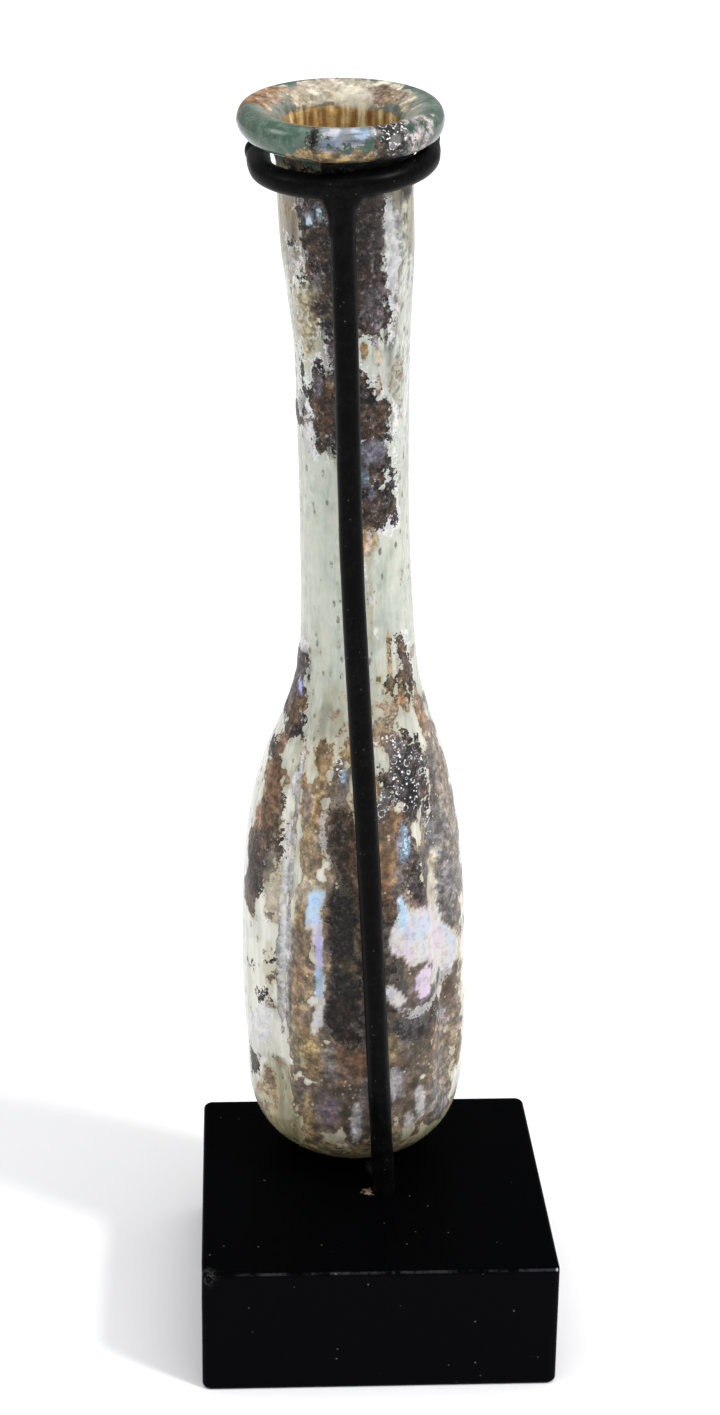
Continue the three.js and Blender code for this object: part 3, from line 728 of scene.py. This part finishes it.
def block_skin():
    """Rows of the block: underside, lower edge, sides, upper edge, top, hole wall and hole floor."""
    half = BLOCK_SIDE / 2
    ease = np.linspace(0, math.pi / 2, EDGE_ROWS)
    outline = rounded_square(half, 2 * BLOCK_EDGE)
    inset = rounded_square(half - BLOCK_EDGE, BLOCK_EDGE)
    hole = outline - ROD_FOOT
    hole = hole / np.linalg.norm(hole, axis=1, keepdims=True) * (ROD_RADIUS + HOLE_PLAY) + ROD_FOOT
    rows = [(inset * s, 0) for s in (0, 0.25, 0.6, 0.9, 0.98)]
    low_edge, high_edge = BLOCK_EDGE, BLOCK_HEIGHT - BLOCK_EDGE
    rows += [(inset + (outline - inset) * math.sin(t), low_edge - BLOCK_EDGE * math.cos(t)) for t in ease]
    rows += [(outline, z) for z in np.linspace(low_edge, high_edge, 16)[1:-1]]
    rows += [(inset + (outline - inset) * math.cos(t), high_edge + BLOCK_EDGE * math.sin(t)) for t in ease]
    rows += [(inset + (hole - inset) * s, BLOCK_HEIGHT) for s in TOP_ROWS]
    bottom = BLOCK_HEIGHT - ROD_SEAT_DEPTH - FIT_GAP
    rows += [(hole, BLOCK_HEIGHT - deep) for deep in (0, 0.1, 3, 8)] + [(hole, bottom + 0.1), (hole, bottom)]
    rows += [(s * (hole - ROD_FOOT) + ROD_FOOT, bottom) for s in (0.3, 0)]
    points = np.stack([np.column_stack([xy, np.full(len(xy), z)]) for xy, z in rows])
    bruise = BRUISE_DEPTH * np.exp(-(np.linalg.norm(points - CHIP_CORNER, axis=-1) / BRUISE_REACH) ** 2)
    inward = np.array([1, 1, -1]) / math.sqrt(3)
    points += (bruise * (1 + 0.6 * lumps(points, 0.9, 31)))[..., None] * inward
    return closed_grid(points)


block = make_mesh("block", [block_skin()])

# %% [markdown]
# ## Paint
#
# A small class wraps a node's output, so that the paints' arithmetic reads as it is written. All else
# comes from one method that takes a node's type, inputs and settings.

# %% Paint tools


def rgba(colour):
    """A typed colour or grey with its alpha, or a colour output as it is."""
    if isinstance(colour, float):
        colour = (colour, colour, colour)
    return (*colour, 1) if isinstance(colour, tuple) else colour


def arithmetic(operation, reflected=False):
    """A method that makes a Math node of two inputs, in turned order if reflected."""
    def method(self, other):
        first, second = (other, self) if reflected else (self, other)
        return self.paint.node("Math", {0: first, 1: second}, operation=operation)[0]
    return method


class Value:
    """One output in a material. Sums, differences, products and powers of values make Math nodes."""

    def __init__(self, paint, socket):
        self.paint = paint
        self.socket = socket

    __add__, __radd__ = arithmetic("ADD"), arithmetic("ADD", reflected=True)
    __sub__, __rsub__ = arithmetic("SUBTRACT"), arithmetic("SUBTRACT", reflected=True)
    __mul__, __rmul__ = arithmetic("MULTIPLY"), arithmetic("MULTIPLY", reflected=True)
    __rpow__ = arithmetic("POWER", reflected=True)
    greatest, least = arithmetic("MAXIMUM"), arithmetic("MINIMUM")

    def rise(self, low, high, kind="SMOOTHSTEP"):
        """0 up to low and 1 from high, with soft ends, or straight between them with LINEAR."""
        inputs = {"Value": self, "From Min": low, "From Max": high}
        return self.paint.node("MapRange", inputs, interpolation_type=kind)[0]


class Paint:
    """A material being made."""

    def __init__(self, name):
        self.material = bpy.data.materials.new(name)
        self.material.use_nodes = True
        self.tree = self.material.node_tree
        self.tree.nodes.clear()
        self.place = self.node("TexCoord")["Object"]

    def node(self, kind, inputs=None, **settings):
        """A node of that type with its settings, then its inputs, then its outputs by name or order."""
        made = self.tree.nodes.new("ShaderNode" + kind)
        for key, value in settings.items():
            setattr(made, key, value)
        for key, value in (inputs or {}).items():
            if isinstance(value, Value):
                self.tree.links.new(value.socket, made.inputs[key])
            else:
                made.inputs[key].default_value = value
        shown = [Value(self, socket) for socket in made.outputs if socket.enabled]
        return {**dict(enumerate(shown)), **{value.socket.name: value for value in shown}}

    def stretched(self, stretch):
        return self.node("VectorMath", {0: self.place, 1: stretch}, operation="MULTIPLY")[0]

    def noise(self, size, detail=2.0, stretch=(1, 1, 1), rough=0.5):
        """Smooth noise with features of about that size in mm, from 0 to 1."""
        return self.node("TexNoise", {"Vector": self.stretched(stretch), "Scale": 1 / (size * MM),
                                      "Detail": detail, "Roughness": rough})[0]

    def cells(self, size, stretch=(1, 1, 1)):
        """Distance from the middle of the nearest cell, and the cell's own random tone."""
        made = self.node("TexVoronoi", {"Vector": self.stretched(stretch), "Scale": 1 / (size * MM)})
        return made["Distance"], made["Color"]

    def specks(self, size, reach, pick, stretch=(1, 1, 1)):
        """Dots in cells of about that many mm, in those whose random tone lies under pick."""
        distance, tone = self.cells(size, stretch)
        return (1 - distance.rise(reach * 0.6, reach)) * (1 - tone.rise(pick, pick + 0.02))

    def distance(self, point, axes=(1, 1, 1)):
        """How far each place is from a point, in mm, measured along the given axes."""
        place = self.stretched([axis / MM for axis in axes])
        return self.node("VectorMath", {0: place, 1: point}, operation="DISTANCE")["Value"]

    def field(self, name):
        return self.node("Attribute", attribute_name=name)["Fac"]

    def mix(self, factor, first, second, kind="MIX"):
        """A colour between two, or with MULTIPLY their product."""
        return self.node("Mix", {0: factor, 6: rgba(first), 7: rgba(second)},
                         data_type="RGBA", blend_type=kind)["Result"]

    def multiply(self, first, second):
        return self.mix(1.0, first, second, "MULTIPLY")

    def ramp(self, factor, stops):
        """A colour from a row of (place, colour) stops, mixed in stop by stop."""
        colour = stops[0][1]
        for (low, _), (high, upper) in zip(stops, stops[1:]):
            colour = self.mix(factor.rise(low, high, "LINEAR"), colour, upper)
        return colour

    def bump(self, height, strength, distance):
        return self.node("Bump", {"Strength": strength, "Distance": distance * MM, "Height": height})[0]

    def skin(self, colour, roughness, normal=None, specular=0.5, more=None):
        """A Principled surface."""
        inputs = {"Base Color": rgba(colour), "Roughness": roughness, "Specular IOR Level": specular}
        if normal:
            inputs["Normal"] = normal
        return self.node("BsdfPrincipled", {**inputs, **(more or {})})[0]

    def blend(self, factor, first, second):
        return self.node("MixShader", {0: factor, 1: first, 2: second})[0]

    def finish(self, surface, piece):
        self.node("OutputMaterial", {"Surface": surface})
        piece.data.materials.clear()
        piece.data.materials.append(self.material)
        print("painted", piece.name, "with", len(self.tree.nodes), "nodes")


# %% [markdown]
# ## Weathered glass
#
# Under it all is clear glass of a pale blue-green, with plain transmission and refraction. It is greener
# at the rim and amber at the foot and in the gold stains. A milky haze of fine decay lies over most of
# it. Soil, with streaks in the throat, and then film, crust, froth with painted white glints and flakes
# are each laid over the last where their field, broken up by noise, is above zero.

# %% Weathered glass
RIM_BAND = (150, 153, 161.5, 165)
SHOULDER_BAND = (72, 84, 98, 114)
BELLY_TOP = (62, 86)
FOOT_TOP = (5, 14)
THROAT_STREAKS = (165.5, 167.5)
RIM_GREEN = (0.15, 0.32, 0.23)
STAIN_GOLD = (0.66, 0.62, 0.34)
HAZE_TONES = [(0.4, (0.56, 0.61, 0.52)), (0.5, (0.76, 0.79, 0.7)), (0.6, (0.86, 0.84, 0.74))]
FILM_TONES = [(0.42, (0.54, 0.55, 0.61)), (0.5, (0.72, 0.72, 0.73)), (0.58, (0.84, 0.82, 0.79))]
CRUST_TONES = [
    (0.4, (0.002, 0.002, 0.003)), (0.46, (0.011, 0.009, 0.009)), (0.52, (0.04, 0.034, 0.031)),
    (0.57, (0.11, 0.1, 0.098)), (0.62, (0.42, 0.4, 0.44)),
]
PEARL_TONES = [
    (0.36, (0.84, 0.94, 1.1)), (0.46, (1, 0.97, 1)), (0.54, (1, 1, 0.95)), (0.64, (1.06, 0.94, 1.03)),
]


def band(way, start, full, fade, end):
    """1 from full to fade along the way, and 0 before start and past end."""
    return way.rise(start, full) * (1 - way.rise(fade, end))


def paint_glass(piece):
    """The layers in the order in which they lie, from the glass out to the flakes."""
    p = Paint("weathered glass")
    crust, film, flake, soil, froth, inner, way = (
        p.field(name) for name in "crust film flake soil froth inner way".split())
    pigment = p.node("CombineColor", {"Red": p.field("red"), "Green": p.field("green"),
                                      "Blue": p.field("blue")})[0]
    broad = p.noise(6)
    mid = p.noise(1.7, 3, rough=0.6)
    fine = p.noise(0.55, 3, rough=0.6)
    pits = p.noise(1.3, 4, rough=0.7)
    coal = p.noise(0.6, 4, rough=0.75)
    rusty = p.noise(3.1, 3, rough=0.6)
    mauve = p.noise(2.2, 3, rough=0.6)
    streak = p.noise(1.1, 2.0, (1, 1, 0.1))
    rim = band(way, *RIM_BAND)
    shoulder = band(way, *SHOULDER_BAND)
    belly = 1 - way.rise(*BELLY_TOP)
    foot = (1 - way.rise(*FOOT_TOP)).greatest(p.field("gold"))

    clear = p.mix(streak, (0.92, 0.965, 0.925), (0.975, 0.985, 0.965))
    clear = p.mix(rim * 0.97, clear, RIM_GREEN)
    clear = p.mix(foot * 0.95, clear, STAIN_GOLD)
    glass = p.skin(clear, fine * 0.08, p.bump(mid + streak * 0.8, 0.15, 0.25),
                   more={"IOR": 1.5, "Transmission Weight": 1.0})
    milk = p.ramp(mid * 0.4 + streak * 0.3 + broad * 0.3, HAZE_TONES)
    milk = p.mix(belly * 0.85, milk, (0.95, 0.94, 0.84))
    milk = p.mix(rim * 0.98, milk, p.mix(mid.rise(0.45, 0.6), (0.045, 0.095, 0.068), (0.1, 0.16, 0.12)))
    milk = p.mix(foot * 0.95, milk, (0.3, 0.27, 0.14))
    stain = soil.rise(0, 0.45) * (1 - inner) * (1 - rim)
    milk = p.mix(stain * 0.7, milk, (0.5, 0.43, 0.25))
    haze_front = p.skin(milk, 0.2, p.bump(fine, 0.12, 0.1), 0.35)
    haze_through = p.node("BsdfTranslucent", {"Color": (0.8, 0.83, 0.74, 1)})[0]
    veil = broad.rise(0.42, 0.58) * 0.25 + streak.rise(0.4, 0.6) * 0.22 + 0.2 + belly * 0.4 + rim * 0.4
    veil = veil + shoulder * 0.3 + stain * 0.2
    through = (0.55 - shoulder * 0.2 - belly * 0.38) * (1 - rim) * (1 - foot)
    body = p.blend(veil * (1 - inner * 0.7), glass, p.blend(through, haze_front, haze_through))
    flaw = p.specks(1.2, 0.3, 0.56, (1, 1, 0.5)) * (1 - inner) * fine.rise(0.38, 0.54)
    body = p.blend(flaw * 0.85, body, p.skin((0.1, 0.1, 0.06), 0.4))

    deep = way.rise(*THROAT_STREAKS)
    calm = (1 - pigment.rise(0.28, 0.5) * 0.8) * (1 - deep * 0.65)
    tone = 2.0 ** (((pits - 0.5) * 7 + (coal - 0.5) * 3 + (mid - 0.5) * 6) * calm)
    rust_share = rusty.rise(0.45, 0.62) * 0.55 * calm
    ground = p.mix(rust_share, pigment, p.multiply(pigment, (0.86, 0.64, 0.42)))
    mauve_share = mauve.rise(0.47, 0.62) * 0.5 * calm
    ground = p.mix(mauve_share, ground, p.multiply(pigment, (0.84, 0.82, 1.05)))
    ground = p.mix((1 - coal.rise(0.34, 0.42)) * 0.5, ground, (0.02, 0.016, 0.014))
    ground = p.multiply(ground, tone.least(2.2))
    grit = p.specks(0.8, 0.34, 0.32) * mauve.rise(0.44, 0.54) * calm
    ground = p.mix(grit * 0.75, ground, (0.62, 0.56, 0.42))
    brown_streak = deep * (1 - streak.rise(0.36, 0.52)) * 0.8
    ground = p.mix(brown_streak, ground, p.multiply(pigment, (0.36, 0.19, 0.1)))
    ground = p.mix(deep * streak.rise(0.52, 0.62) * 0.8, ground, (0.88, 0.8, 0.52))
    soil_mask = (soil + (mid - 0.5) * 1.4 + fine - 0.5).rise(0.32, 0.52)
    soil_skin = p.skin(ground, 0.25 + fine * 0.3, p.bump(mid + pits, 0.5, 0.22), 0.22)
    body = p.blend(soil_mask * 0.93, body, soil_skin)

    shift = (mid - 0.5) * (soil * 3.0 + 4.5) + (fine - 0.5) * 3.5
    fringe = (crust + shift + 0.55).rise(0, 0.2) * (broad * 0.7 + fine * 0.3).rise(0.47, 0.53)
    fringe = fringe * (1 - inner) * (1 - rim) * (way.rise(72, 90) * 0.85 + 0.15)
    film_mask = (film + shift * 0.5).rise(0, 0.25).greatest(fringe)
    chalky = p.mix(soil_mask * 0.45, p.ramp(fine * 0.5 + mid * 0.5, FILM_TONES), pigment)
    chalky = p.multiply(chalky, p.mix(pits.rise(0.4, 0.5), 0.8, 1.0))
    body = p.blend(film_mask * 0.8, body, p.skin(chalky, 0.35, p.bump(fine + coal, 0.3, 0.12)))

    crust_mask = (crust + shift).rise(0, 0.2)
    stained = p.multiply(p.multiply(pigment, tone.least(2)), (0.5, 0.48, 0.46))
    brown = (rusty.rise(0.44, 0.58) * 0.6).greatest(soil * 0.8)
    dark = p.mix(brown, p.ramp(coal * 0.6 + pits * 0.4, CRUST_TONES), stained)
    crust_skin = p.skin(dark, 0.25 + mid * 0.3, p.bump(fine + pits, 0.6, 0.22), 0.2)
    body = p.blend(crust_mask, body, crust_skin)

    # Froth: rings round burst bubbles and sparkles, painted white as highlights.
    distance, _ = p.cells(1.35)
    ring = distance.rise(0.3, 0.35) * (1 - distance.rise(0.38, 0.44)) * fine.rise(0.46, 0.54)
    painted_glints = (ring * 0.8 + p.specks(0.7, 0.3, 0.45) + p.specks(0.45, 0.32, 0.4)).least(1)
    body = p.blend(painted_glints * froth.least(1), body, p.skin((0.86, 0.86, 0.88), 0.2))

    pearl = p.ramp(p.noise(3.0, 2.0, (1, 1, 0.6)), PEARL_TONES)
    grooves = 1 - p.noise(0.9, 3.0, (0.3, 0.3, 1.6)).rise(0.42, 0.6)
    pearl = p.multiply(pearl, p.mix(rim * grooves, 1.0, (0.45, 0.5, 0.55)))
    dimple = p.mix(pits.rise(0.36, 0.54), (0.8, 0.79, 0.78), 1.05)
    pearl = p.multiply(p.multiply(pigment, pearl), dimple)
    flake_skin = p.skin(pearl, 0.3, p.bump(mid + fine, 0.4, 0.2), more={"Metallic": 0.1})
    flake_edge = flake + (mid - 0.5) * (1.5 + rim * 2) + (fine - 0.5) * (1.8 + rim * 2)
    body = p.blend(flake_edge.rise(0, 0.12), body, flake_skin)
    p.finish(body, piece)


paint_glass(flask)

# %% [markdown]
# ## Black paint and lacquer
#
# The mount's satin paint is nearly black, a little uneven, with fine specks. The block's lacquer is
# deeper and smoother, with dust, one corner worn to grey and a crumb by the rod. Its sides are painted
# a lighter black than its top, as light falls, and painted highlights lie along the front top edge and
# on another corner as a small bright dot.

# %% Black paint and lacquer


def paint_mount(piece):
    """Black paint with fine dust."""
    p = Paint("black paint")
    fine = p.noise(0.5, 3)
    mid = p.noise(2.5)
    distance, _ = p.cells(1.6)
    dot = (1 - distance.rise(0.04, 0.09)) * mid.rise(0.45, 0.6)
    dot = (dot + p.specks(0.9, 0.11, 0.45) * mid.rise(0.4, 0.55)).least(1)
    cloudy = (mid * 0.5 + fine * 0.5).rise(0.45, 0.62)
    colour = p.mix(cloudy, (0.0018, 0.0018, 0.0022), 0.0045)
    colour = p.mix(dot * 0.6, colour, 0.14)
    p.finish(p.skin(colour, 0.28 + mid * 0.16, p.bump(fine + mid, 0.12, 0.12), 0.045), piece)


def paint_block(piece):
    """Black lacquer with dust, a corner worn to grey and a crumb. Painted light: sides lighter than the top,
    a highlight along the front top edge and a bright dot on one corner.
    """
    p = Paint("black lacquer")
    fine = p.noise(0.6, 3)
    mid = p.noise(3)
    grain = p.noise(1.2, 2.0, (0.1, 1, 1))
    distance, _ = p.cells(3.4)
    dust = (1 - distance.rise(0.012, 0.035)) * mid.rise(0.5, 0.6) + p.specks(2.6, 0.07, 0.42) * 0.4
    worn = 1 - (p.distance(CHIP_CORNER) + (fine - 0.5) * 5).rise(1.2, 3.2)
    # Painted highlight: a thin, broken light line along the front top edge.
    painted_edge_highlight = 1 - p.distance(TOP_FRONT_EDGE, (0, 1, 1)).rise(0.08, 0.3)
    painted_edge_highlight = painted_edge_highlight * (mid * 0.6 + fine * 0.4).rise(0.42, 0.6)
    crumb = 1 - (p.distance(CRUMB) + (fine - 0.5) * 3).rise(0.4, 1)
    # Painted highlight: a small bright dot on the front right top corner.
    painted_glint = 1 - p.distance(PAINTED_GLINT_CORNER).rise(0.2, 0.5)
    # Painted light: the sides are a lighter black than the top.
    painted_lighter_sides = 1 - (p.node("SeparateXYZ", {0: p.place})["Z"] * (1 / MM)).rise(18.2, 18.9)
    colour = p.mix(dust.least(1) * fine, p.mix(painted_lighter_sides, LACQUER, SIDES_PAINTED_LIGHTER), 0.3)
    # The corner worn to grey is real wear; the edge line is a painted highlight.
    colour = p.mix(worn * fine.rise(0.46, 0.6) * 0.5 + painted_edge_highlight * 0.3, colour, 0.08)
    colour = p.mix(painted_glint, colour, 0.6)
    colour = p.mix(crumb * 0.8, colour, (0.3, 0.22, 0.14))
    p.finish(p.skin(colour, 0.2 + mid * 0.1, p.bump(grain, 0.04, 0.1), 0.004), piece)


paint_mount(mount)
paint_block(block)

# %% [markdown]
# ## Floor, light and camera
#
# The floor is plain and pale under a broad white sky. A lamp at the front right throws the shadow to the
# left, and a weaker one at the left lights the rod's other edge. The camera stands a little above the rim.

# %% Floor, light and camera
FLOOR_REACH = 6.0
SKY_STRENGTH = 0.42
# Each lamp: the direction it shines from, its width in degrees and its watts to the square metre.
LAMPS = {
    "overhead": ((0.05, -0.1, 1.0), 60, 1.55),
    "key": ((0.6, -0.4, 0.69), 9, 1.75),
    "left": ((-0.9, -0.15, 0.55), 20, 0.6),
}
PHOTO_HEIGHT = 1415
FOCAL_PIXELS = 2562.5
SENSOR = 36.0
CAMERA_PLACE = (-20.772, -337.46, 216.206)
CAMERA_RIGHT = (0.99872, -0.04914, 0.01185)
CAMERA_UP = (0.00552, 0.33901, 0.94077)
CAMERA_BACK = (-0.05025, -0.9395, 0.33884)

floor_mesh = bpy.data.meshes.new("floor")
corners = [(x * FLOOR_REACH, y * FLOOR_REACH, 0) for x, y in ((-1, -1), (1, -1), (1, 1), (-1, 1))]
floor_mesh.from_pydata(corners, [], [(0, 1, 2, 3)])
floor = add_object("floor", floor_mesh)
p = Paint("pale floor")
pale = p.mix(p.noise(14, 3), (0.9, 0.9, 0.915), (0.93, 0.93, 0.945))
p.finish(p.skin(pale, 0.7, specular=0.2), floor)

for name, (direction, width, strength) in LAMPS.items():
    lamp = bpy.data.lights.new(name, "SUN")
    lamp.angle = width * DEGREE
    lamp.energy = strength
    add_object(name, lamp).rotation_euler = Vector(direction).to_track_quat("Z", "Y").to_euler()
world = bpy.data.worlds.new("white room")
world.use_nodes = True
sky = world.node_tree.nodes["Background"].inputs
sky["Color"].default_value = (1, 1, 1, 1)
sky["Strength"].default_value = SKY_STRENGTH
bpy.context.scene.world = world
bpy.context.scene.view_settings.view_transform = "Standard"

camera_data = bpy.data.cameras.new("camera")
camera_data.sensor_width = SENSOR
camera_data.lens = FOCAL_PIXELS / PHOTO_HEIGHT * SENSOR
camera_data.clip_start = 0.01
camera = add_object("camera", camera_data)
axes = Matrix((CAMERA_RIGHT, CAMERA_UP, CAMERA_BACK)).transposed()
camera.matrix_world = Matrix.Translation(Vector(CAMERA_PLACE) * MM) @ axes.to_4x4()
bpy.context.scene.camera = camera

# %% [markdown]
# ## Hand-over
#
# Each fine piece stands for the solid of the same piece, which is hidden, and is hung under the root.

# %% Hand-over
for piece, node, slot in (
    (flask, "glass_bottle", "weathered_glass"),
    (mount, "metal_mount", "black_painted_metal"),
    (block, "block_base", "black_lacquered_wood"),
):
    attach(piece, "root")
    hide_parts(node)
